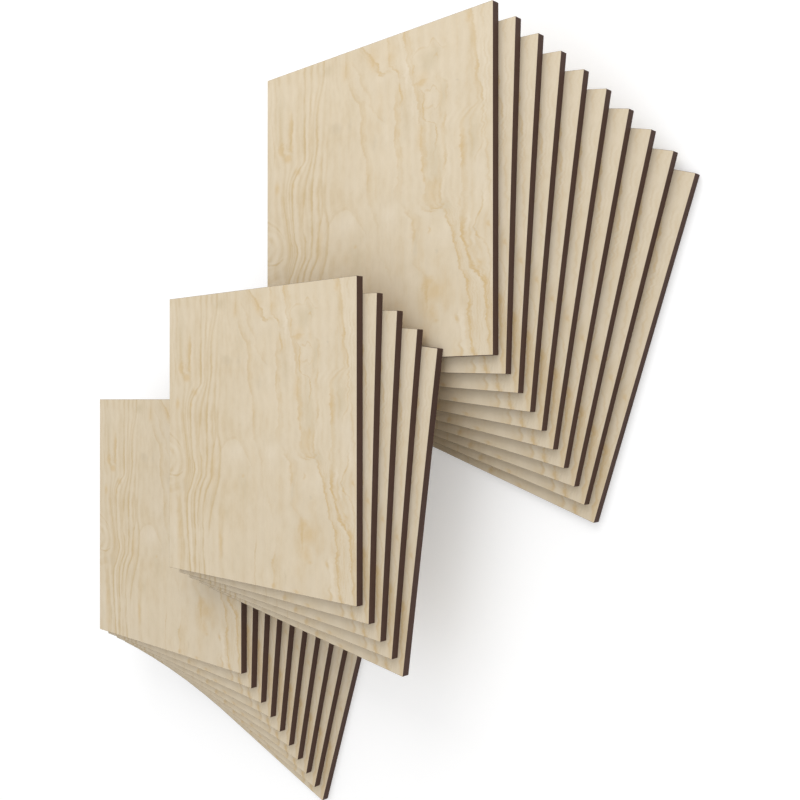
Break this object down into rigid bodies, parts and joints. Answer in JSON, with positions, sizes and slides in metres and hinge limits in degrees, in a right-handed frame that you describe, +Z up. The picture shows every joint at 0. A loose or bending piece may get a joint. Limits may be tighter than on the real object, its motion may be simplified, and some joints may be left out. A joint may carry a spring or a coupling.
{
  "type": "stack of plywood sheets",
  "caption": "Square plywood sheets lying flat in fanned stacks, two on the ground and a smaller one across both.",
  "frame": {"origin": "on the ground, in the middle of the whole pile's footprint", "axes": "+Z up, square to the sheets' faces; +X and +Y along the sides of each stack's topmost sheet"},
  "size_m": [0.6612, 0.6716, 0.0975],
  "materials": {
    "plywood": "raw sanded veneer faces, scorched dark brown cut edges"
  },
  "bodies": {
    "root": {"left_sheet_01": "plywood", "left_sheet_02": "plywood", "left_sheet_03": "plywood", "left_sheet_04": "plywood", "left_sheet_05": "plywood", "left_sheet_06": "plywood", "left_sheet_07": "plywood", "left_sheet_08": "plywood", "left_sheet_09": "plywood", "left_sheet_10": "plywood", "right_sheet_01": "plywood", "right_sheet_02": "plywood", "right_sheet_03": "plywood", "right_sheet_04": "plywood", "right_sheet_05": "plywood", "right_sheet_06": "plywood", "right_sheet_07": "plywood", "right_sheet_08": "plywood", "right_sheet_09": "plywood", "right_sheet_10": "plywood", "upper_sheet_01": "plywood", "upper_sheet_02": "plywood", "upper_sheet_03": "plywood", "upper_sheet_04": "plywood", "upper_sheet_05": "plywood"}
  },
  "joints": []
}
